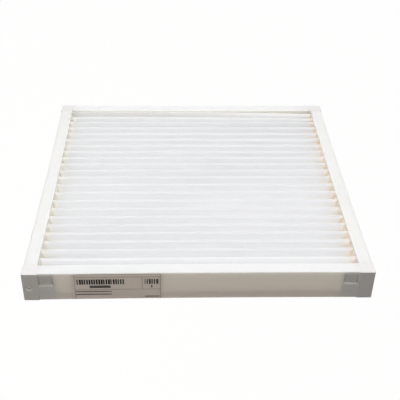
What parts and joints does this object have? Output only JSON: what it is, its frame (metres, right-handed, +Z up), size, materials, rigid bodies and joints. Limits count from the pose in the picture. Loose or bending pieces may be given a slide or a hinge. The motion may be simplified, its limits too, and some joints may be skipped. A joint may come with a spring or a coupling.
{
  "type": "pre-filter cassette",
  "caption": "Flat square air pre-filter: a pleated pad of white fleece sealed with compound inside a frame of plastic channel profiles and moulded corner blocks.",
  "frame": {"origin": "middle of the underside of the frame, in the plane that it rests on", "axes": "+Z up towards the dust side, +X along the pleats, -Y towards the side with the label"},
  "size_m": [0.5, 0.5, 0.048],
  "materials": {
    "frame_plastic": "extruded white polystyrene, thin and slightly translucent",
    "corner_plastic": "moulded white polystyrene, fine satin texture",
    "filter_fleece": "white polyester fleece, folded",
    "sealing_compound": "cast cream-coloured foaming sealing compound",
    "label_paper": "uncoated off-white label paper with plain printed bars"
  },
  "bodies": {
    "root": {"profile_front": "frame_plastic", "profile_back": "frame_plastic", "profile_left": "frame_plastic", "profile_right": "frame_plastic", "corner_front_left": "corner_plastic", "corner_front_right": "corner_plastic", "corner_back_right": "corner_plastic", "corner_back_left": "corner_plastic", "pleated_pad": "filter_fleece", "end_band_left": "sealing_compound", "end_band_right": "sealing_compound", "edge_bead_front": "sealing_compound", "edge_bead_back": "sealing_compound", "label": "label_paper"}
  },
  "joints": []
}
